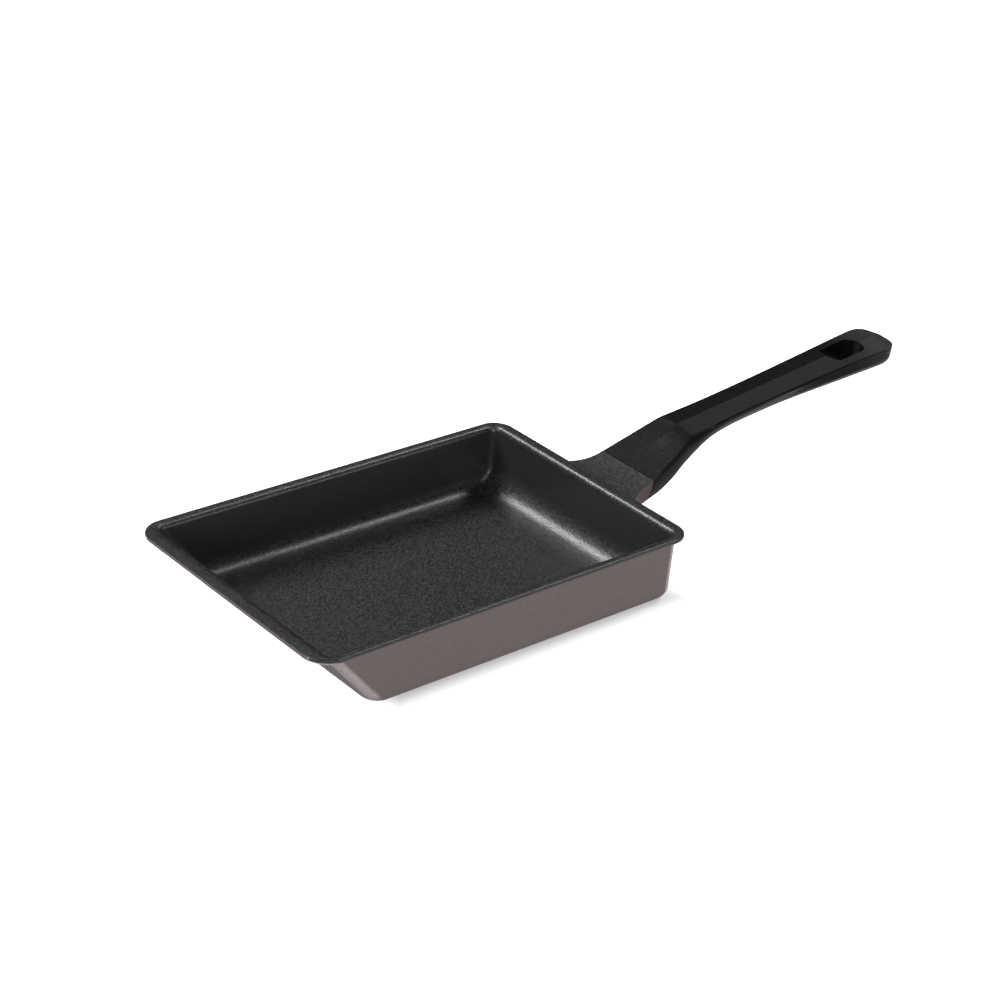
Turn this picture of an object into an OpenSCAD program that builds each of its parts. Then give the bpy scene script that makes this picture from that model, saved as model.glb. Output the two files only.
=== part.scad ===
// Rectangular rolled-omelette pan: a cast tray with its own neck and tang, and a moulded grip
// that one screw holds from below. The origin is on the underside, under the middle of the
// tray. X runs towards the grip, Y across the pan, Z up.

/* [Tray] */
// Length of the tray over the rim
pan_l = 207; // [185:1:230]
// Width of the tray over the rim
pan_w = 136; // [110:1:165]
// Height from the underside to the top of the rim
pan_h = 33.2; // [29:0.1:40]
// Thickness of the side walls and the back wall
wall_t = 2.4; // [1.8:0.1:3.2]
// Thickness of the front wall
front_t = 1.9; // [1.6:0.1:2.6]
// Thickness of the floor
floor_t = 2; // [1.8:0.1:4]
// Outside corner radius of the walls, seen from above
corner_r = 7.5; // [6:0.5:14]
// Inside corner radius of the walls
inner_r = 3.8; // [3:0.2:5]
// Outside radius where the walls meet the underside
base_r = 6; // [4:0.5:7]
// Inside radius where the walls meet the floor
floor_r = 7.5; // [4:0.5:9]
// Inside radius where the back wall meets the floor
back_floor_r = 12; // [8:0.5:14]
// Lean of the front wall, away from upright
front_lean = 41; // [25:1:45]
// Lean of the two side walls
side_lean = 0.5; // [0:0.1:3]
// Lean of the back wall, which carries the neck
back_lean = 1; // [0:0.1:3]

/* [Rim] */
// How far the rim stands out past the side walls
rim_side = 2.6; // [1.8:0.1:3.4]
// How far the rim stands out past the front and back walls
rim_end = 4.4; // [3:0.1:6]
// Thickness of the rim at its outer edge
rim_t = 2.4; // [2:0.1:3]
// Corner radius of the rim at the front, seen from above
rim_corner_r = 12; // [9:0.5:18]
// Corner radius of the rim at the back
rim_back_r = 10; // [8:0.5:18]
// Radius of the bend from the rim down into the tray at the sides and the back
fold_r = 2.8; // [1.6:0.1:3.4]
// Radius of the same bend at the front
front_fold_r = 7; // [4:0.5:7.5]
// Rounding of the rim's outer edge
rim_edge_r = 0.9; // [0.5:0.1:1]

/* [Neck] */
// Distance from the rim to the face where the grip starts
neck_reach = 22.6; // [20:0.2:32]
// Width of the neck at the grip
neck_w = 35.8; // [32:0.2:40]
// Depth of the neck at the grip
neck_d = 20.2; // [19.6:0.2:22]
// How far the neck's top lies below the rim at the grip
neck_top_drop = 1.6; // [0.6:0.1:2.6]
// How far the neck's top climbs from the tray to the grip
neck_climb = 3.6; // [1:0.1:5]
// Radius of the flare that spreads the neck into the back wall
flare_r = 28.5; // [24:0.5:40]

/* [Tang] */
// Length of the tang inside the grip
tang_l = 22; // [19:0.5:22.5]
// Width of the tang
tang_w = 12; // [10:0.5:13]
// Height of the tang at its root
tang_root_h = 7.4; // [6.8:0.2:7.6]
// Height of the tang at its tip
tang_tip_h = 6.4; // [5.8:0.2:7]
// Height of the tang's underside above the lowest point of the neck's face
tang_lift = 10.6; // [10.4:0.1:11]
// Clearance round the tang in the grip's socket
tang_fit = 0.15; // [0.1:0.05:0.3]

/* [Grip] */
// Length of the moulded grip
grip_l = 170; // [150:1:190]
// Distance from the neck to the crease across the top
crease_at = 29; // [26:0.5:34]
// Width of the top at the crease
crease_w = 23.3; // [21:0.1:25]
// Width of the top at its narrowest
waist_w = 21; // [19:0.1:23]
// Width of the top at the tail
tail_w = 27.4; // [24:0.1:29]
// Rise of the top from the neck to the crease
front_rise = 13.2; // [10:0.1:16]
// Rise of the top from the crease to the tail
rear_rise = 16.7; // [10:0.1:20]
// Settling of the top at the tail
tail_droop = 1.2; // [0:0.1:2]
// Height of the ridge between the two top facets
ridge_h = 1.2; // [0.8:0.1:2]
// Rise of the underside from the neck to the tail
low_rise = 37.4; // [34:0.1:39]
// Slope of the underside where it climbs past the crease
low_slope = 1.14; // [1:0.01:1.5]
// Length of the rounded tail end
tail_round = 12; // [10:0.5:15]
// Depth of the shut line under the top edge
notch_in = 0.7; // [0.3:0.1:1]
// Height of the lip under the shut line
lip_h = 1.5; // [1:0.1:2]
// Depth of the hollow under the lip
groove_in = 0.9; // [0.4:0.1:1.2]
// Width of the seam left open round the face of the neck
seam_w = 0.4; // [0.3:0.1:0.8]
// How far the seam goes in from the outside
seam_in = 1.2; // [0.8:0.1:2]

/* [Hanging hole] */
// Length of the hole
hole_l = 23; // [18:0.2:26]
// Width of the hole
hole_w = 14.4; // [11:0.2:15]
// Distance from the tail to the near end of the hole
hole_in = 16.2; // [14:0.2:20]
// Corner radius of the hole
hole_r = 3.2; // [2:0.2:4]
// Bow of the two ends of the hole
hole_bow = 1.2; // [0.4:0.1:2]

/* [Screw] */
// Diameter of the screw's thread
screw_d = 5; // [4:0.5:5.5]
// Distance from the neck to the screw
screw_at = 12.6; // [11:0.1:14]
// Length of the screw under its head
screw_l = 10; // [9:0.5:11]
// Diameter of the screw's head
head_d = 9; // [8:0.1:9.4]
// Height of the screw's head
head_h = 3; // [2.4:0.1:3.2]
// Outside diameter of the washers
washer_d = 9.6; // [8.8:0.1:10]
// Thickness of the flat washer
washer_t = 0.9; // [0.6:0.1:1.1]
// Thickness of the spring washer
lock_t = 1.2; // [1:0.1:1.4]
// Thickness of the grip between the washers and the tang
seat_t = 2.6; // [2:0.1:3]
// Radial clearance between the thread and its tapped hole
thread_fit = 0.05; // [0.02:0.01:0.1]
// Radial clearance of the screw in the grip and the washers
screw_fit = 0.25; // [0.15:0.05:0.4]
// Radial clearance round the washers in their pocket
pocket_fit = 0.4; // [0.3:0.1:0.6]

/* [Hidden] */

corner_steps = 10;      // facets round each corner of the tray
fillet_steps = 8;      // facets round each bend at the rim and the underside
floor_steps = 12;      // facets round the bend between the walls and the floor
under_steps = 7;       // facets down each side of the grip's underside
bore_fn = 48;

back_x = pan_l / 2;                      // outer edge of the rim on the grip's side
joint_x = back_x + neck_reach;           // face of the neck
joint_top = pan_h - neck_top_drop;       // top of the neck at its face
joint_low = joint_top - neck_d;          // bottom of the neck at its face
grip_x = joint_x + seam_w;               // front face of the grip
neck_root_x = back_x - rim_end - wall_t / 2;

function mix(a, b, t) = a + (b - a) * t;
function clamp(t) = max(0, min(1, t));
function smooth(t) = let (u = clamp(t)) u * u * (3 - 2 * u);
function steps(n) = [for (i = [0 : n]) i / n];

// Faces that join rings of n points into one closed skin with flat ends
function skin(rings, n) = concat(
    [concat([0], [for (i = [n - 1 : -1 : 1]) i])],
    [for (j = [0 : rings - 2], i = [0 : n - 1])
        let (a = j * n + i, b = j * n + (i + 1) % n)
        each [[a, b, b + n], [a, b + n, a + n]]],
    [[for (i = [0 : n - 1]) (rings - 1) * n + i]]
);

module loft(rings) {
    n = len(rings[0]);
    polyhedron(points = [for (r = rings) each r], faces = skin(len(rings), n));
}

// Tray: one rounded rectangle for each level, given as
// [height, inset of the sides, inset of the front, inset of the back, corner radius at the
// front, corner radius at the back]
function level_ring(v) = let (
    x1 = pan_l / 2 - v[3] - v[5], x0 = -pan_l / 2 + v[2] + v[4], y = pan_w / 2 - v[1],
    corners = [[x1, y - v[5], v[5]], [x0, y - v[4], v[4]], [x0, v[4] - y, v[4]], [x1, v[5] - y, v[5]]]
) [for (k = [0 : 3], i = [0 : corner_steps])
    let (a = 90 * (k + i / corner_steps), c = corners[k])
    [c[0] + c[2] * cos(a), c[1] + c[2] * sin(a), v[0]]];

// Inset of the outside of a wall at height z: a leaning line, then the bend to the underside
function outer_inset(z, lean, reach) = let (
    centre = reach + tan(lean) * (pan_h - base_r) + base_r / cos(lean)
) z >= base_r * (1 - sin(lean))
    ? reach + tan(lean) * (pan_h - z)
    : centre - sqrt(max(0, base_r * base_r - (base_r - z) * (base_r - z)));

// Inset of the inside of a wall at height z: the bend from the floor, a leaning line,
// then the bend over to the rim
function inner_inset(z, lean, reach, thick, bend, bottom) = let (
    face = reach + thick / cos(lean),
    low = floor_t + bottom,
    low_centre = face + tan(lean) * (pan_h - low) + bottom / cos(lean),
    high = pan_h - bend,
    high_centre = face + tan(lean) * bend - bend / cos(lean)
) z < floor_t + bottom * (1 - sin(lean))
    ? low_centre - sqrt(max(0, bottom * bottom - (low - z) * (low - z)))
    : z > high + bend * sin(lean)
        ? high_centre + sqrt(max(0, bend * bend - (z - high) * (z - high)))
        : face + tan(lean) * (pan_h - z);

function outer_level(z) = [z, outer_inset(z, side_lean, rim_side),
    outer_inset(z, front_lean, rim_end), outer_inset(z, back_lean, rim_end), corner_r, corner_r];
function inner_level(z, r) = [z, inner_inset(z, side_lean, rim_side, wall_t, fold_r, floor_r),
    inner_inset(z, front_lean, rim_end, front_t, front_fold_r, floor_r),
    inner_inset(z, back_lean, rim_end, wall_t, fold_r, back_floor_r), r, r];
// Rounded outer edge of the rim, inset alike all round
function rim_level(a) = let (
    inset = rim_edge_r * (1 - cos(a)),
    z = a > 0 ? pan_h - rim_edge_r * (1 - sin(a)) : pan_h - rim_t + rim_edge_r * (1 + sin(a))
) [z, inset, inset, inset, rim_corner_r - inset, rim_back_r - inset];

tray_levels = concat(
    [for (t = steps(floor_steps)) inner_level(floor_t + back_floor_r * (1 - cos(90 * t)), inner_r)],
    [for (t = steps(fillet_steps))
        inner_level(pan_h - fold_r * (1 - sin(90 * t)), inner_r + fold_r * (1 - cos(90 * t)))],
    [for (a = [90, 60, 30, 0, -45, -90]) rim_level(a)],
    [outer_level(pan_h - rim_t)],
    [for (t = steps(fillet_steps)) outer_level(base_r * cos(90 * t))]
);

module tray() {
    loft([for (v = tray_levels) level_ring(v)]);
}

// Half oval with a flat top, in the plane across the neck or the grip
function oval_ring(x, half_w, top, depth, n) = concat(
    [[x, half_w, top]],
    [for (i = [1 : n]) let (a = 180 * i / (n + 1)) [x, half_w * cos(a), top - depth * sin(a)]],
    [[x, -half_w, top]]
);

// Neck: its sides flare out along an arc and its top dips along another, both level at the face
function neck_half_w(x) = neck_w / 2
    + flare_r - sqrt(flare_r * flare_r - min(pow(joint_x - x, 2), pow(0.98 * flare_r, 2)));
function neck_top(x) = joint_top - neck_climb * (1 - pow(1 - (joint_x - x) / neck_reach, 2));

module neck() {
    span = joint_x - neck_root_x;
    loft([for (t = steps(12)) let (x = neck_root_x + span * t)
        oval_ring(x, neck_half_w(x), neck_top(x), neck_top(x) - joint_low, 2 * under_steps)]);
}

// Seat that fills the seam behind the grip's front face, set in from the outline
module seam_seat(length) {
    translate([joint_x, 0, joint_top - seam_in])
        rotate([90, 0, 90])
            linear_extrude(length)
                polygon([for (i = [0 : 24]) let (a = 180 + 7.5 * i)
                    [(neck_w / 2 - seam_in) * cos(a), (neck_d - 2 * seam_in) * sin(a)]]);
}

tang_low = joint_low + tang_lift;
module tang_shape(grow) {
    translate([0, tang_w / 2 + grow, 0])
        rotate([90, 0, 0])
            linear_extrude(tang_w + 2 * grow)
                polygon([
                    [joint_x - 1, tang_low - grow],
                    [grip_x + tang_l + grow, tang_low - grow],
                    [grip_x + tang_l + grow, tang_low + tang_tip_h + grow],
                    [joint_x - 1, tang_low + tang_root_h + grow]
                ]);
}

screw_x = grip_x + screw_at;
seat_z = tang_low - seat_t;              // where the flat washer bears on the grip
head_z = seat_z - washer_t - lock_t;     // underside of the head

module pan_body() {
    color([0.43, 0.385, 0.385])
        difference() {
            union() {
                tray();
                neck();
                seam_seat(seam_w);
                tang_shape(0);
            }
            translate([screw_x, 0, tang_low - 1])
                cylinder(h = head_z + screw_l + 1 - tang_low + 1, d = screw_d + 2 * thread_fit,
                    $fn = bore_fn);
        }
}

// Grip: each section has two top facets, a shut line under the top edge, a lip, a hollow
// and an oval underside. s is the distance from the grip's front face.
tail_at = grip_l - tail_round;
function top_half_w(s) = s < crease_at
    ? mix(neck_w / 2, crease_w / 2, s / crease_at)
    : s < mix(crease_at, grip_l, 0.26)
        ? mix(waist_w, crease_w, pow(1 - (s - crease_at) / (0.26 * (grip_l - crease_at)), 2)) / 2
        : mix(waist_w, tail_w, pow(((s - crease_at) / (grip_l - crease_at) - 0.26) / 0.74, 2)) / 2;
function end_shrink(s) = let (u = clamp((s - tail_at) / tail_round))
    pow(1 - pow(u, 3.1), 1 / 3.1);
function edge_z(s) = s < crease_at
    ? mix(joint_top, joint_top + front_rise, s / crease_at)
    : let (t = (s - crease_at) / (grip_l - crease_at))
        joint_top + front_rise + rear_rise * t - tail_droop * pow(t, 8);
waist_at = 0.36 * grip_l;
function blend_up(a, b, k) = (a + b + sqrt((a - b) * (a - b) + k * k)) / 2;
function blend_down(a, b, k) = (a + b - sqrt((a - b) * (a - b) + k * k)) / 2;
// Underside: level at the heel, climbing past the crease, then nearly level to the tail
climb_at = 0.709 * crease_at;
low_bend = 0.415 * crease_at;
function low_form(s) = blend_down(
    blend_up(0, low_slope * (s - climb_at), low_bend),
    low_rise + 0.36 - 0.085 * (grip_l - s),
    0.875 * low_bend
);
function low_z(s) = joint_low + low_form(s) - low_form(0);
// The underside turns up a little at the tail end
function end_low_z(s) = let (u = clamp((s - tail_at) / tail_round))
    mix(low_z(s), edge_z(s), 0.2 * (1 - sqrt(1 - 0.95 * pow(u, 6))));
// The shut line is widest at the crease and fades out at the neck and at the tail
function notch_h(s) = 0.5 + 2.1 * smooth(s / crease_at) * (1 - smooth((s - crease_at) / crease_at));
function detail(s) = smooth(s / (0.6 * crease_at)) * (1 - smooth((s - tail_at) / tail_round));
function groove(s) = groove_in * smooth((s - waist_at) / waist_at);
// The underside is oval up to the waist and squarer towards the tail
function squareness(s) = 2 + 1.3 * smooth((s / grip_l - 0.5) / 0.44);

// Points under the top edge that shape the shut line, the lip and the hollow, as
// [down from the edge, inwards from the plain oval]
function side_steps(s) = let (h = notch_h(s)) [
    [0.55 * h, notch_in],
    [h + 0.25, 0.25],
    [h + lip_h, 0.1],
    [h + lip_h + 1.1, groove(s)],
    [h + lip_h + 2.6, 0.6 * groove(s)]
];
function oval_w(down, depth, power) = pow(1 - pow(down / depth, power), 1 / power);
function grip_half(s, side) = let (
    w = top_half_w(s) * end_shrink(s), top = edge_z(s), depth = top - end_low_z(s),
    power = squareness(s), rim = side_steps(s), cut = detail(s) * min(1, w / 8),
    start = asin(pow(rim[4][0] / depth, power / 2))
) concat(
    [[side * w, top]],
    [for (p = rim) [side * (w * oval_w(p[0], depth, power) - p[1] * cut), top - p[0]]],
    [for (i = [1 : under_steps - 1]) let (a = mix(start, 90, i / under_steps))
        [side * w * pow(cos(a), 2 / power), top - depth * pow(sin(a), 2 / power)]]
);
function reverse(v) = [for (i = [len(v) - 1 : -1 : 0]) v[i]];
// The crease is a shallow chevron: its middle lies ahead of its ends
function grip_ring(s, lead) = let (
    x = grip_x + s, right = grip_half(s, 1), left = grip_half(s, -1),
    ridge = edge_z(s + lead) + ridge_h * pow(smooth((s + lead) / crease_at), 2) * end_shrink(s)
) concat(
    [[x + lead, 0, ridge]],
    [for (p = right) [x, p[0], p[1]]],
    [[x, 0, end_low_z(s)]],
    [for (p = reverse(left)) [x, p[0], p[1]]]
);
crease_gap = 1.3;
crease_flat = 0.3;
front_stations = [for (t = steps(9)) (crease_at - crease_gap) * t];
rear_stations = [for (t = steps(26)) mix(crease_at + crease_gap, tail_at, t)];
tail_stations = [for (a = [18 : 12 : 78]) tail_at + tail_round * sin(a)];

module grip_form() {
    loft(concat(
        [for (s = front_stations) grip_ring(s, s == last(front_stations) ? crease_gap : 0)],
        [for (s = rear_stations) grip_ring(s, s == rear_stations[0] ? crease_flat - crease_gap : 0)],
        [for (s = tail_stations) grip_ring(s, 0)]
    ));
}
function last(v) = v[len(v) - 1];

// Outline of the hanging hole: rounded corners and slightly bowed ends
function hole_end(side) = let (
    x1 = hole_l / 2 - hole_bow - hole_r, y1 = hole_w / 2 - hole_r
) concat(
    [for (i = [0 : 5]) let (a = 90 - 15 * i) [side * (x1 + hole_r * cos(a)), y1 + hole_r * sin(a)]],
    [for (t = [0.75, 0.4, 0, -0.4, -0.75])
        [side * (x1 + hole_r + hole_bow * (1 - t * t)), y1 * t]],
    [for (i = [5 : -1 : 0]) let (a = 90 - 15 * i)
        [side * (x1 + hole_r * cos(a)), -y1 - hole_r * sin(a)]]
);
hole_x = grip_x + grip_l - hole_in - hole_l / 2;

module handle() {
    color([0.11, 0.11, 0.115])
        difference() {
            grip_form();
            tang_shape(tang_fit);
            translate([hole_x, 0, joint_top])
                linear_extrude(front_rise + rear_rise + 3 * ridge_h)
                    polygon(concat(hole_end(1), reverse(hole_end(-1))));
            translate([screw_x, 0, joint_low - 1])
                cylinder(h = seat_z - joint_low + 1, d = washer_d + 2 * pocket_fit, $fn = bore_fn);
            translate([screw_x, 0, joint_low - 1])
                cylinder(h = tang_low - joint_low + 2, d = screw_d + 2 * screw_fit, $fn = bore_fn);
        }
}

// Pan-head screw with a cross recess
module handle_screw() {
    recess_w = 1.1;
    color([0.72, 0.72, 0.74])
        translate([screw_x, 0, head_z])
            difference() {
                union() {
                    cylinder(h = screw_l, d = screw_d, $fn = bore_fn);
                    translate([0, 0, -head_h])
                        rotate_extrude($fn = bore_fn)
                            polygon([[0, 0], [head_d / 2 - 1, 0], [head_d / 2, 1],
                                [head_d / 2, head_h], [0, head_h]]);
                }
                for (turn = [0, 90])
                    rotate([0, 0, turn])
                        translate([-head_d / 4, -recess_w / 2, -head_h - 1])
                            cube([head_d / 2, recess_w, 1 + 0.6 * head_h]);
            }
}

// Spring washer: a square-section ring with one slanted cut
module lock_washer() {
    color([0.66, 0.66, 0.68])
        translate([screw_x, 0, head_z])
            difference() {
                cylinder(h = lock_t, d = washer_d - 1, $fn = bore_fn);
                translate([0, 0, -1])
                    cylinder(h = lock_t + 2, d = screw_d + 2 * screw_fit, $fn = bore_fn);
                translate([screw_d / 2 - 0.5, 0, lock_t / 2])
                    rotate([30, 0, 0])
                        translate([0, -0.25, -lock_t * 2])
                            cube([washer_d / 2, 0.5, lock_t * 4]);
            }
}

module flat_washer() {
    color([0.7, 0.7, 0.72])
        translate([screw_x, 0, head_z + lock_t])
            difference() {
                cylinder(h = washer_t, d = washer_d, $fn = bore_fn);
                translate([0, 0, -1])
                    cylinder(h = washer_t + 2, d = screw_d + 2 * screw_fit, $fn = bore_fn);
            }
}

pan_body();
handle();
handle_screw();
lock_washer();
flat_washer();
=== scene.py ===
# %% [markdown]
# # A rolled-omelette pan, dressed around its CAD frame
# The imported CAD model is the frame: every piece stands for one of its nodes and keeps its size
# and place. This lesson gives the casting and the grip clean shading surfaces, paints their
# finishes with nodes, and sets the camera, the floor and the lamps. All lengths are metres. X
# runs from the tray to the grip, and the tray stands on the floor, its middle over the origin.

# %% Load the frame
import bpy, bmesh, math
from mathutils import Matrix, Vector


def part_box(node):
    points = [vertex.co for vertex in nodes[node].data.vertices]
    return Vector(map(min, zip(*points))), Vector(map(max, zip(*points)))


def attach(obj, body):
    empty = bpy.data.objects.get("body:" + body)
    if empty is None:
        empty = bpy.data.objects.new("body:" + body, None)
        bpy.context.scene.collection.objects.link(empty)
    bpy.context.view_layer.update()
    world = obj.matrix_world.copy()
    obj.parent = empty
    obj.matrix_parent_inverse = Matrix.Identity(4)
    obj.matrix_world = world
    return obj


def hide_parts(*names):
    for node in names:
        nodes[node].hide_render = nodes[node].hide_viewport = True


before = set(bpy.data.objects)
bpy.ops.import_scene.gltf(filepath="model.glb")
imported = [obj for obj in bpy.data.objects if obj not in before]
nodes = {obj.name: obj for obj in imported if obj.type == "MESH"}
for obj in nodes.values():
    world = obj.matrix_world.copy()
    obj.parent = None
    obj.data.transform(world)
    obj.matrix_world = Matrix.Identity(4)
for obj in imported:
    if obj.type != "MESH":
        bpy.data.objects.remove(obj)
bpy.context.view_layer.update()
MM = 0.001
tray_low, tray_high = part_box("pan_body")
grip_low, grip_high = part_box("handle")
RIM_Z = 33.2 * MM
print("frame:", sorted(nodes), "rim at", RIM_Z)
print("casting box:", tray_low, tray_high)
print("grip box:", grip_low, grip_high)

# %% [markdown]
# ## Camera
# The photograph was taken with a long lens from the front left, 28 degrees above the floor. The
# view was solved from the outlines of the rim, the base and the grip, so the camera is placed by
# three angles, the offset of the picture's middle from the tray's middle, and the distance.

# %% Camera
VIEW_TURN, VIEW_LIFT, VIEW_ROLL = math.radians(-42.35), math.radians(27.68), math.radians(5.06)
VIEW_SIDE, VIEW_UP, VIEW_BACK = 36.44 * MM, 13.56 * MM, 1080.0 * MM
VIEW_FORWARD = -0.675 * MM
FOCAL_PIXELS, PICTURE_PIXELS, SENSOR_MM = 2454.7, 1000, 36.0
FAR_LIMIT = 20

back = Vector((math.sin(VIEW_TURN) * math.cos(VIEW_LIFT),
               -math.cos(VIEW_TURN) * math.cos(VIEW_LIFT), math.sin(VIEW_LIFT)))
level_right = Vector((math.cos(VIEW_TURN), math.sin(VIEW_TURN), 0))
level_up = back.cross(level_right)
right = level_right * math.cos(VIEW_ROLL) + level_up * math.sin(VIEW_ROLL)
up = level_up * math.cos(VIEW_ROLL) - level_right * math.sin(VIEW_ROLL)
eye = right * VIEW_SIDE + up * VIEW_UP + back * VIEW_BACK + Vector((VIEW_FORWARD, 0, RIM_Z))

camera_data = bpy.data.cameras.new("camera")
camera_data.sensor_width = SENSOR_MM
camera_data.lens = FOCAL_PIXELS * SENSOR_MM / PICTURE_PIXELS
camera_data.clip_end = FAR_LIMIT
camera = bpy.data.objects.new("camera", camera_data)
bpy.context.collection.objects.link(camera)
turn = Matrix((right, up, back)).transposed().to_4x4()
camera.matrix_world = Matrix.Translation(eye) @ turn
bpy.context.scene.camera = camera
print("camera at", [round(v, 3) for v in eye], "lens", round(camera_data.lens, 1))

# %% [markdown]
# ## Shader maths as expressions
# A finish is a small sum: a speckle here, less gloss there. It could be wired node by node, but
# wrapping a socket in a class with overloaded operators lets the sum be written as one, and
# every operator adds its Math node.

# %% A socket that can be calculated with
class Signal:
    def __init__(self, tree, socket):
        self.tree, self.socket = tree, socket

    def node(self, kind, inputs, output=0, **settings):
        """Adds a node: its settings first, then a value or a signal for each input."""
        made = self.tree.nodes.new(kind)
        for name, value in settings.items():
            setattr(made, name, value)
        for name, value in inputs.items():
            if isinstance(value, Signal):
                self.tree.links.new(value.socket, made.inputs[name])
            else:
                made.inputs[name].default_value = value
        return Signal(self.tree, made.outputs[output])

    def math(self, operation, *values):
        return self.node("ShaderNodeMath", dict(enumerate(values)), operation=operation)

    def __add__(self, other): return self.math("ADD", self, other)
    def __radd__(self, other): return self.math("ADD", other, self)
    def __sub__(self, other): return self.math("SUBTRACT", self, other)
    def __rsub__(self, other): return self.math("SUBTRACT", other, self)
    def __mul__(self, other): return self.math("MULTIPLY", self, other)
    def __rmul__(self, other): return self.math("MULTIPLY", other, self)

    def absolute(self): return self.math("ABSOLUTE", self)

    def largest(self, other): return self.math("MAXIMUM", self, other)

    def clamp(self): return self.node("ShaderNodeClamp", {"Value": self})

    def step(self, low, high):
        """Rises smoothly from 0 at low to 1 at high."""
        return self.node("ShaderNodeMapRange", {"Value": self, "From Min": low, "From Max": high},
                         interpolation_type="SMOOTHSTEP")


print("a signal can be added, subtracted and multiplied")

# %% [markdown]
# ## Places and patterns
# A finish has to know where a point lies and which way the surface faces there, and it needs
# grain. Noise gives the grain and Voronoi cells give separate flakes. Both follow Object
# coordinates, so they keep their real scale on every side of the pan.

# %% Places and patterns
def new_finish(name):
    """A material with a Principled shader, and its Object coordinates as a signal."""
    material = bpy.data.materials.new(name)
    material.use_nodes = True
    tree = material.node_tree
    place = tree.nodes.new("ShaderNodeTexCoord")
    return material, tree.nodes["Principled BSDF"], Signal(tree, place.outputs["Object"])


def axes(vector):
    """The three components of a vector signal."""
    parts = vector.node("ShaderNodeSeparateXYZ", {"Vector": vector})
    return [Signal(vector.tree, socket) for socket in parts.socket.node.outputs]


def facing(place):
    """The components of the surface normal; the pieces are not turned, so it is the world's."""
    return axes(place.node("ShaderNodeNewGeometry", {}, "Normal"))


def grain(place, per_metre, roughness, detail=2.0):
    """Noise in the range 0 to 1, with so many grains to the metre."""
    return place.node("ShaderNodeTexNoise", {"Vector": place, "Scale": per_metre,
                                             "Detail": detail, "Roughness": roughness})


def flakes(place, per_metre):
    """Random brightness per cell: separate flakes in a coating."""
    cells = place.node("ShaderNodeTexVoronoi", {"Vector": place, "Scale": per_metre}, "Color")
    return place.node("ShaderNodeSeparateColor", {"Color": cells})


def speckle(fine, fleck, low, high):
    """Pale specks: six parts of the grain between low and high, four parts of flakes."""
    return (fine.step(low, high) * 0.6 + fleck.step(0.3, 1.0) * 0.4).clamp()


print("pattern helpers ready")

# %% [markdown]
# ## Colours and wires
# A Math node turns a colour grey, so colours go through a Mix node. Its sockets for colours
# share their names with those for numbers, so they are taken by number.

# %% Colours and wires
MIX_FIRST, MIX_SECOND, MIX_RESULT = 6, 7, 2


def colour_mix(factor, first, second):
    """From the first colour at 0 to the second at 1; each is a colour or a signal."""
    tree = factor.tree
    made = tree.nodes.new("ShaderNodeMix")
    made.data_type = "RGBA"
    tree.links.new(factor.socket, made.inputs["Factor"])
    for socket, value in ((made.inputs[MIX_FIRST], first), (made.inputs[MIX_SECOND], second)):
        if isinstance(value, Signal):
            tree.links.new(value.socket, socket)
        else:
            socket.default_value = (*value, 1)
    return Signal(tree, made.outputs[MIX_RESULT])


def wire(shader, name, signal):
    signal.tree.links.new(signal.socket, shader.inputs[name])


def bump(height, depth, strength):
    """A Bump node: height times depth, in metres."""
    return height.node("ShaderNodeBump", {"Height": height, "Distance": depth,
                                          "Strength": strength})


print("colour helpers ready")

# %% [markdown]
# ## Non-stick coating
# Inside and over the rim the casting has a charcoal coating with fine pale flecks. A
# photograph of it could be mapped on, but noise on Object coordinates keeps its grain at the
# real scale on every side. Flecks vary the colour, the grain varies the gloss, and a fine bump
# breaks up the highlights on the bends into sparkle. The speckle is strongest on level faces
# and faint on the walls.

# %% Non-stick coating
COATING_GRAIN, COATING_CLOUD, COATING_FLAKES = 900, 420, 1300
COATING_DARK, COATING_PALE = (0.0, 0.0, 0.0), (0.044, 0.048, 0.047)
COATING_BUMP = 0.00013
COATING_SPECULAR = 0.75


def coating_finish():
    material, shader, place = new_finish("nonstick_coating")
    fine, soft = grain(place, COATING_GRAIN, 0.7), grain(place, COATING_CLOUD, 0.5)
    fleck = flakes(place, COATING_FLAKES)
    level = facing(place)[2].step(0.15, 0.6)
    strength = 0.25 + 1.10 * level
    tone = 0.60 - 0.15 * level + (speckle(fine, fleck, 0.38, 0.66) - 0.45) * strength
    wire(shader, "Base Color", colour_mix(tone, COATING_DARK, COATING_PALE))
    wire(shader, "Roughness", 0.25 + 0.14 * fine + 0.04 * soft)
    wire(shader, "Normal", bump((fine + 0.5 * fleck) * strength, COATING_BUMP, 0.9))
    shader.inputs["Specular IOR Level"].default_value = COATING_SPECULAR
    return material


coating = coating_finish()
print("finish:", coating.name)

# %% [markdown]
# ## Outside enamel
# Outside, below the rim's edge, the casting is sprayed with a taupe enamel with a slight metallic
# flake. On the rounded wall corners a painted highlight makes the enamel lighter than on the flat
# walls, and on the neck's sides painted shade makes it darker and browner. Two more paints would
# leave a seam, so the product of the normal's level components, which is large only where a wall
# turns a corner, fades one paint into the other.

# %% Outside enamel
ENAMEL_GRAIN, ENAMEL_CLOUD, ENAMEL_FLAKES = 1900, 300, 2300
ENAMEL_DARK, ENAMEL_PALE = (0.202, 0.160, 0.160), (0.328, 0.265, 0.266)
# The first colour is a painted highlight for the corners, the second painted shade for the neck's
# sides.
CORNER_HIGHLIGHT, NECK_SHADE = (0.96, 0.87, 0.86), (0.115, 0.065, 0.050)
ENAMEL_BUMP = 0.00004
RIM_BACK, NECK_FADE = 103.5 * MM, 2 * MM


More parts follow.
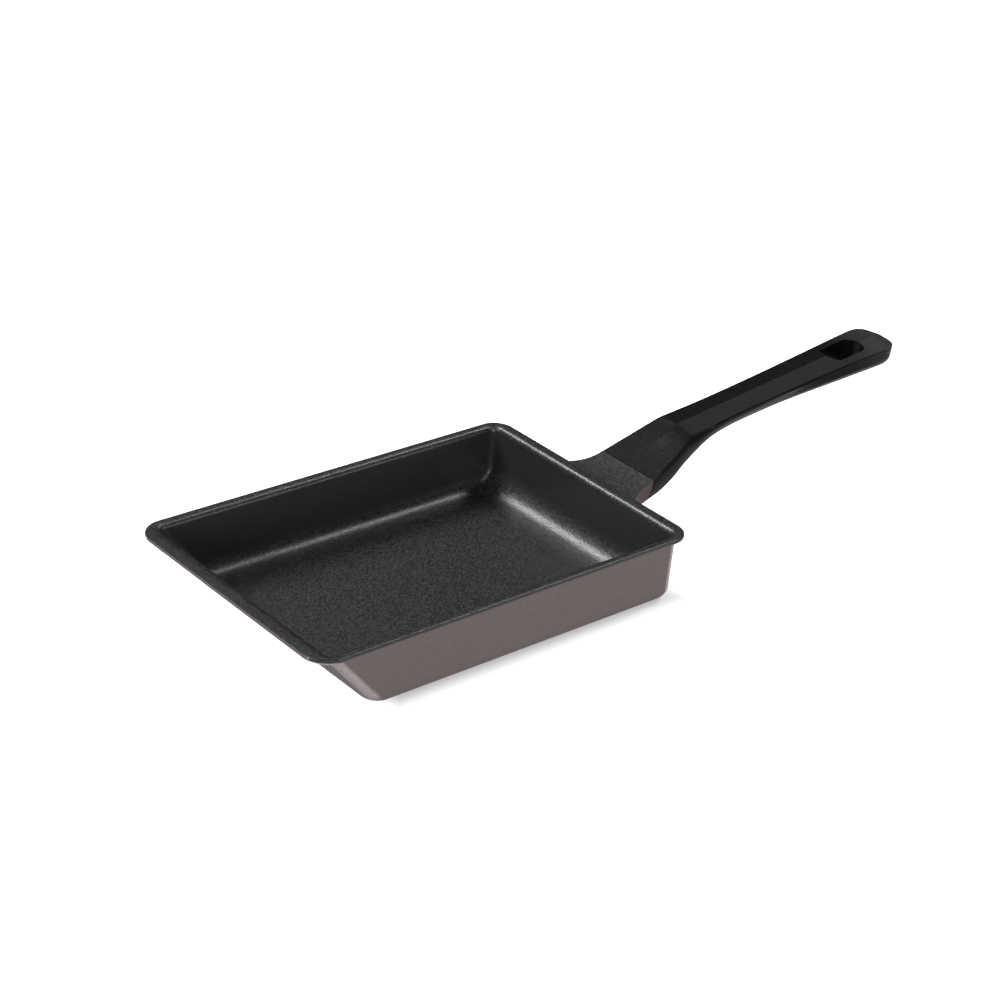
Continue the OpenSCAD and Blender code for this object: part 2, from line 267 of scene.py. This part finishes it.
def enamel_finish():
    material, shader, place = new_finish("taupe_enamel")
    fine, soft = grain(place, ENAMEL_GRAIN, 0.7), grain(place, ENAMEL_CLOUD, 0.5)
    fleck = flakes(place, ENAMEL_FLAKES)
    speck = speckle(fine, fleck, 0.3, 0.75)
    across, along = facing(place)[:2]
    corner = (across * along).absolute().step(0.10, 0.38)
    neck = axes(place)[0].step(RIM_BACK, RIM_BACK + NECK_FADE)
    paint = colour_mix(speck, ENAMEL_DARK, ENAMEL_PALE)
    # Painted shade: the neck's sides are mixed towards a darker, browner colour.
    paint = colour_mix(neck * 0.8, paint, NECK_SHADE)
    # Painted highlight on the rounded wall corners, left off the neck.
    lit = corner * (0.45 + 0.55 * speck) * (1 - neck)
    wire(shader, "Base Color", colour_mix(lit, paint, CORNER_HIGHLIGHT))
    wire(shader, "Roughness", 0.46 + 0.10 * fine + 0.04 * soft)
    wire(shader, "Metallic", 0.25 + 0.25 * fleck)
    wire(shader, "Normal", bump(fine + 0.5 * fleck, ENAMEL_BUMP, 0.8))
    return material


enamel = enamel_finish()
print("finish:", enamel.name)

# %% [markdown]
# ## Grip plastic
# The grip is a satin black moulding with a fine spark-eroded texture. A second, dull black is
# mixed over it by a factor: fully in the dark joint at the neck, and as painted shade fully on
# the walls of the hanging slot and partly on the grip's sides, less towards the tail. One black
# with varied gloss could do it too, but a gloss can't take the lamps' reflection away as a dull
# layer does. The base colour is also lighter towards the tail and on faces that look down, except
# near the neck: a painted highlight.

# %% Grip plastic
NECK_FACE = 126.1 * MM
GRIP_GRAIN, GRIP_CLOUD = 2400, 160
GRIP_DARK, GRIP_PALE = (0.001, 0.001, 0.001), (0.044, 0.044, 0.045)
# A dull black, used as painted shade and for the dark joint.
SHADE_AND_JOINT_BLACK = (0.002, 0.002, 0.002, 1)
GRIP_BUMP = 0.00003
GRIP_SPECULAR = 0.25
UNDER_FROM, UNDER_TO = 0.142, 0.190
TAIL_FROM, TAIL_TO = 0.262, 0.296
SIDE_FADE_FROM, SIDE_FADE_TO = 0.215, 0.285
SLOT_INSIDE, SLOT_OUTSIDE = 0.007, 0.009
SLOT_END_FROM, SLOT_END_TO = 0.2795, 0.2805
SEAM_FROM, SEAM_TO = 0.0003, 0.0006


def darken(shader, factor):
    """Lays a black, dull surface over the shader by a factor: painted shade and a dark joint."""
    black = factor.node("ShaderNodeBsdfDiffuse", {"Color": SHADE_AND_JOINT_BLACK})
    over = factor.tree.nodes.new("ShaderNodeMixShader")
    for socket, source in enumerate((factor.socket, shader.outputs[0], black.socket)):
        factor.tree.links.new(source, over.inputs[socket])
    output = factor.tree.nodes["Material Output"]
    factor.tree.links.new(over.outputs[0], output.inputs["Surface"])


def grip_shade_and_joint(length, breadth, level, under):
    """1 in the dark joint; painted shade: 1 in the slot, less on the sides, 0 on top and
    underneath.
    """
    side = 1 - level.absolute().step(0.5, 0.8)
    slot = ((1 - breadth.absolute().step(SLOT_INSIDE, SLOT_OUTSIDE))
            * (1 - length.step(SLOT_END_FROM, SLOT_END_TO)))
    fade = 0.72 - 0.45 * length.step(SIDE_FADE_FROM, SIDE_FADE_TO)
    seam = 1 - (length - NECK_FACE).step(SEAM_FROM, SEAM_TO)
    return (side * (1 - under) * (fade + slot).clamp()).largest(seam)


def grip_finish():
    material, shader, place = new_finish("grip_plastic")
    fine, soft = grain(place, GRIP_GRAIN, 0.7), grain(place, GRIP_CLOUD, 0.5)
    level = facing(place)[2]
    length, breadth, _ = axes(place)
    under = (0 - level).step(-0.1, 0.3) * length.step(UNDER_FROM, UNDER_TO)
    tail = length.step(TAIL_FROM, TAIL_TO)
    # Painted highlight: the colour is lighter towards the tail and on faces that look down,
    # except near the neck.
    tone = (fine.step(0.3, 0.7) * (0.35 + 0.5 * tail) + 0.5 * tail + 0.5 * under).clamp()
    wire(shader, "Base Color", colour_mix(tone, GRIP_DARK, GRIP_PALE))
    wire(shader, "Roughness", 0.17 + 0.07 * fine + 0.02 * soft)
    wire(shader, "Normal", bump(fine, GRIP_BUMP, 0.8))
    shader.inputs["Specular IOR Level"].default_value = GRIP_SPECULAR
    # Painted shade on the grip's sides and in the slot, and the dark joint at the neck.
    darken(shader, grip_shade_and_joint(length, breadth, level, under))
    return material


plastic = grip_finish()
print("finish:", plastic.name)

# %% [markdown]
# ## Screw steel
# The screw and its washers are plain plated steel, seen only from below. A fully metallic
# shader with a little uneven gloss is enough.

# %% Screw steel
STEEL_GRAIN = 900
STEEL_DARK, STEEL_PALE = (0.52, 0.52, 0.54), (0.68, 0.68, 0.70)
STEEL_BUMP = 0.00001


def steel_finish():
    material, shader, place = new_finish("plated_steel")
    fine = grain(place, STEEL_GRAIN, 0.6, detail=3.0)
    wire(shader, "Base Color", colour_mix(fine, STEEL_DARK, STEEL_PALE))
    wire(shader, "Roughness", 0.28 + 0.2 * fine)
    wire(shader, "Normal", bump(fine, STEEL_BUMP, 0.5))
    shader.inputs["Metallic"].default_value = 1.0
    return material


steel = steel_finish()
print("finish:", steel.name)

# %% [markdown]
# ## Selecting by place
# Operators act on what is selected. By hand that is a click; here a test on each face, edge or
# vertex does it, after everything else has been deselected.

# %% Selecting by place
SELECT_MODES = {"faces": "FACE", "edges": "EDGE", "verts": "VERT"}


def deselect():
    bpy.ops.object.select_all(action="DESELECT")


def activate(piece):
    deselect()
    piece.select_set(True)
    bpy.context.view_layer.objects.active = piece


def select_in_mesh(piece, kind, test):
    """Selects the faces, edges or vertices that pass the test, and stays in edit mode."""
    activate(piece)
    bpy.ops.object.mode_set(mode="EDIT")
    bpy.ops.mesh.select_mode(type=SELECT_MODES[kind])
    bpy.ops.mesh.select_all(action="DESELECT")
    work = bmesh.from_edit_mesh(piece.data)
    count = 0
    for part in getattr(work, kind):
        if test(part):
            part.select_set(True)
            count += 1
    bmesh.update_edit_mesh(piece.data)
    return count


def leave_edit():
    bpy.ops.object.mode_set(mode="OBJECT")


print("selection by", sorted(SELECT_MODES))

# %% [markdown]
# ## A clean copy of a CAD node
# A CAD node is loose triangles. Its shape is right, so it could simply be painted, but every
# bend would show its facets. A copy whose doubles are merged and whose flat areas are joined
# can be shaded smooth up to a chosen angle, with normals weighted by face area so that flat
# faces stay flat. The copy then stands for the node.

# %% Copy, merge and smooth
SAME_POINT = 0.000002
FACE_WEIGHT = 60


def merged_copy(node, name, flat_within=0.3):
    """A copy of a node, its faces joined where they bend less than an angle in degrees."""
    piece = nodes[node].copy()
    piece.data = nodes[node].data.copy()
    piece.name = name
    bpy.context.collection.objects.link(piece)
    piece.parent = None
    for key in list(piece.keys()):
        del piece[key]
    activate(piece)
    bpy.ops.object.mode_set(mode="EDIT")
    bpy.ops.mesh.select_all(action="SELECT")
    bpy.ops.mesh.remove_doubles(threshold=SAME_POINT)
    bpy.ops.mesh.customdata_custom_splitnormals_clear()
    bpy.ops.mesh.dissolve_limited(angle_limit=math.radians(flat_within))
    leave_edit()
    return piece


def shade(piece, angle, weighted=True):
    activate(piece)
    bpy.ops.object.shade_smooth_by_angle(angle=math.radians(angle), keep_sharp_edges=True)
    if weighted:
        even = piece.modifiers.new("even", "WEIGHTED_NORMAL")
        even.keep_sharp = True
        even.weight = FACE_WEIGHT
        bpy.ops.object.modifier_apply(modifier=even.name)
    print(piece.name, "faces:", len(piece.data.polygons))


def hand_over(piece, node):
    """Binds the piece to the body and lets it stand for the node."""
    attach(piece, "root")
    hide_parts(node)


print("copy helpers ready")

# %% [markdown]
# ## Casting
# The coating ends on the rim's outer edge, and on the neck it covers the flat top only. So
# after the copy is merged, the faces are sorted into two finishes by where they lie and the
# way they face. The rim's outer front edge is crisper in the photograph than the solid's
# rounding, so its top vertices are first moved out by half a millimetre, inside the CAD box.

# %% Which faces are coated
RIM_SIDE, RIM_CORNER = 68.0 * MM, 12 * MM
SIDE_EDGE, FRONT_EDGE = RIM_Z - 1.2 * MM, RIM_Z - 0.5 * MM
FRONT_BAND, NECK_DEPTH, BACK_SLACK = 2 * MM, 8 * MM, 0.01 * MM


def outward(middle, normal):
    """True where a wall face looks away from the tray's middle."""
    return middle.x * normal.x / RIM_BACK + middle.y * normal.y / RIM_SIDE > 0.05


def in_coating(face):
    middle, normal = face.calc_center_median(), face.normal
    if middle.x > RIM_BACK - BACK_SLACK:
        return normal.z > 0.7 and middle.z > RIM_Z - NECK_DEPTH
    at_front = normal.x < -0.95 and middle.z > RIM_Z - FRONT_BAND
    edge = FRONT_EDGE if at_front else SIDE_EDGE
    return middle.z > edge or (normal.z > -0.05 and not outward(middle, normal))


print("coating ends at", SIDE_EDGE, "and in front at", FRONT_EDGE)

# %% Casting
RIM_TOP_BAND, RIM_EDGE_BAND, FRONT_FROM = 0.05 * MM, 0.95 * MM, -90 * MM
EDGE_STRETCH = 1.0052


def outermost(place, margin):
    """True within a margin of the rim's outline, whose front corners are rounded."""
    past_x = max(0, -place.x - (RIM_BACK - RIM_CORNER))
    past_y = max(0, abs(place.y) - (RIM_SIDE - RIM_CORNER))
    return math.hypot(past_x, past_y) > RIM_CORNER - margin


def on_front_edge(vertex):
    place = vertex.co
    return (place.z > RIM_Z - RIM_TOP_BAND and place.x < FRONT_FROM
            and outermost(place, RIM_EDGE_BAND))


casting = merged_copy("pan_body", "casting")
edge_points = select_in_mesh(casting, "verts", on_front_edge)
bpy.ops.transform.resize(value=(EDGE_STRETCH, 1, 1), center_override=(0, 0, 0))
leave_edit()
casting.data.materials.clear()
casting.data.materials.append(enamel)
casting.data.materials.append(coating)
coated = select_in_mesh(casting, "faces", in_coating)
casting.active_material_index = 1
bpy.ops.object.material_slot_assign()
leave_edit()
shade(casting, 32)
hand_over(casting, "pan_body")
print("moved points:", edge_points, "coated faces:", coated)

# %% [markdown]
# ## Grip
# The grip's top has a ridge along its middle that must stay crisp although it bends only a few
# degrees. A smaller smoothing angle would keep it, but would also show the facets of the
# sides, so the ridge's edges are marked sharp by place before the rest is smoothed.

# %% Grip
NEAR_MIDDLE = 1e-5
grip = merged_copy("handle", "grip", 0.1)


def is_ridge(edge):
    a, b = edge.verts[0].co, edge.verts[1].co
    on_ridge = abs(a.y) < NEAR_MIDDLE and abs(b.y) < NEAR_MIDDLE
    return on_ridge and all(face.normal.z > 0.5 for face in edge.link_faces)


ridge_edges = select_in_mesh(grip, "edges", is_ridge)
bpy.ops.mesh.mark_sharp()
leave_edit()
grip.data.materials.clear()
grip.data.materials.append(plastic)
shade(grip, 24)
hand_over(grip, "handle")
print("ridge edges:", ridge_edges)

# %% [markdown]
# ## Screw and washers
# One screw holds the grip on the casting from below, over a spring washer and a plain one. They
# are small round parts whose CAD shape is complete, so their merged copies are only smoothed
# round and keep their square edges.

# %% Screw and washers
for node, name in (("handle_screw", "clamp_screw"), ("lock_washer", "spring_washer"),
                   ("flat_washer", "plain_washer")):
    fastener = merged_copy(node, name)
    fastener.data.materials.clear()
    fastener.data.materials.append(steel)
    shade(fastener, 30, weighted=False)
    hand_over(fastener, node)

# %% [markdown]
# ## Floor
# The pan lies on plain white paper. More light would make the paper white but the pan pale, so
# the paper glows white for camera rays, and less under the tray, where the soft shadow stays.
# Glossy rays see it at under half strength, so the enamel reflects a pale floor. To all other
# rays the paper is dark, so that it throws little light back up on the pan.

# %% Floor
FLOOR_RADIUS, FLOOR_DROP = 6.0, 0.00002
FOOT_MIDDLE, FOOT_LENGTH, FOOT_WIDTH = 21 * MM, 154 * MM, 126 * MM
SHADOW_FROM, SHADOW_TO = -0.002, 0.016
UNDER_GLOW, GLOSSY_GLOW = 0.30, 0.45
PAPER_DARK, PAPER_WHITE = (0.12, 0.12, 0.12), (0.92, 0.92, 0.92)

deselect()
bpy.ops.mesh.primitive_circle_add(vertices=64, radius=FLOOR_RADIUS, fill_type="NGON",
                                  location=(0, 0, -FLOOR_DROP))
floor = bpy.context.object
floor.name = "floor"
floor_paint, paper_shader, spot = new_finish("white_paper")
paper = floor_paint.node_tree
paper_shader.inputs["Roughness"].default_value = 0.9
paper_shader.inputs["Specular IOR Level"].default_value = 0.1
path = paper.nodes.new("ShaderNodeLightPath")
camera_rays = Signal(paper, path.outputs["Is Camera Ray"])
glossy_rays = Signal(paper, path.outputs["Is Glossy Ray"])
wire(paper_shader, "Base Color", colour_mix(camera_rays, PAPER_DARK, PAPER_WHITE))
floor_x, floor_y, _ = axes(spot)
beyond_x = (floor_x - FOOT_MIDDLE).absolute() - FOOT_LENGTH / 2
beyond_y = floor_y.absolute() - FOOT_WIDTH / 2
away = beyond_x.largest(beyond_y).step(SHADOW_FROM, SHADOW_TO)
# Painted light: away from the tray's foot the glow fills in the lamps' shadow, so only the shadow
# close to the foot stays.
glow = camera_rays * (UNDER_GLOW + (1 - UNDER_GLOW) * away) + GLOSSY_GLOW * glossy_rays
wire(paper_shader, "Emission Strength", glow)
paper_shader.inputs["Emission Color"].default_value = (1, 1, 1, 1)
floor.data.materials.append(floor_paint)
print("floor:", floor.name, "radius", FLOOR_RADIUS)

# %% [markdown]
# ## World
# The paper ends long before the horizon. A white world would wash out the dark coating, so the
# world gives only a little fill light, and is white only where the camera sees it.

# %% World
SKY_FILL = 0.02

world = bpy.data.worlds.new("studio")
bpy.context.scene.world = world
world.use_nodes = True
sky = world.node_tree
background = sky.nodes["Background"]
seen = Signal(sky, sky.nodes.new("ShaderNodeLightPath").outputs["Is Camera Ray"])
sky.links.new((SKY_FILL + (1 - SKY_FILL) * seen).socket, background.inputs["Strength"])
background.inputs["Color"].default_value = (1, 1, 1, 1)
print("world:", world.name, "fill", SKY_FILL)

# %% [markdown]
# ## Lamps
# One big soft box would light the pan evenly, but the photograph shows separate lines along
# the bends, each the reflection of one lamp. So every lamp stands where its line asks for it:
# the key behind on the left draws the bright one along the rear bend, and weaker ones on the
# right, on the left and in front draw the others and light the enamel. Each faces the pan.

# %% Lamps
PAN_MIDDLE = Vector((0.03, 0, 0.02))
# name, direction from the pan, distance, width, height, power in watts
LAMPS = (
    ("key_left_back", (-0.21, 0.575, 0.79), 1.4, 0.50, 0.42, 15),
    ("back_right", (0.48, 0.56, 0.67), 1.6, 1.0, 0.5, 0.78),
    ("side_right", (0.597, -0.12, 0.79), 1.5, 0.34, 0.30, 5.1),
    ("low_right", (0.58, -0.80, 0.06), 1.8, 1.2, 0.3, 6),
    ("front", (-0.62, -0.72, 0.18), 1.6, 0.5, 0.36, 6.5),
    ("left", (-0.75, 0.25, 0.60), 1.5, 0.5, 0.5, 6),
    ("over_front", (-0.10, -0.75, 0.65), 1.6, 0.9, 0.5, 4.5),
)

for name, direction, distance, width, height, power in LAMPS:
    data = bpy.data.lights.new(name, "AREA")
    data.shape = "RECTANGLE"
    data.size, data.size_y = width, height
    data.energy = power
    lamp = bpy.data.objects.new(name, data)
    bpy.context.collection.objects.link(lamp)
    way = Vector(direction).normalized()
    lamp.location = PAN_MIDDLE + way * distance
    lamp.rotation_euler = way.to_track_quat("Z", "Y").to_euler()
print("lamps:", len(LAMPS))

# %% [markdown]
# ## Finish
# The view settings stay plain, so that a colour renders as it is written.

# %% Finish
bpy.context.scene.view_settings.view_transform = "Standard"
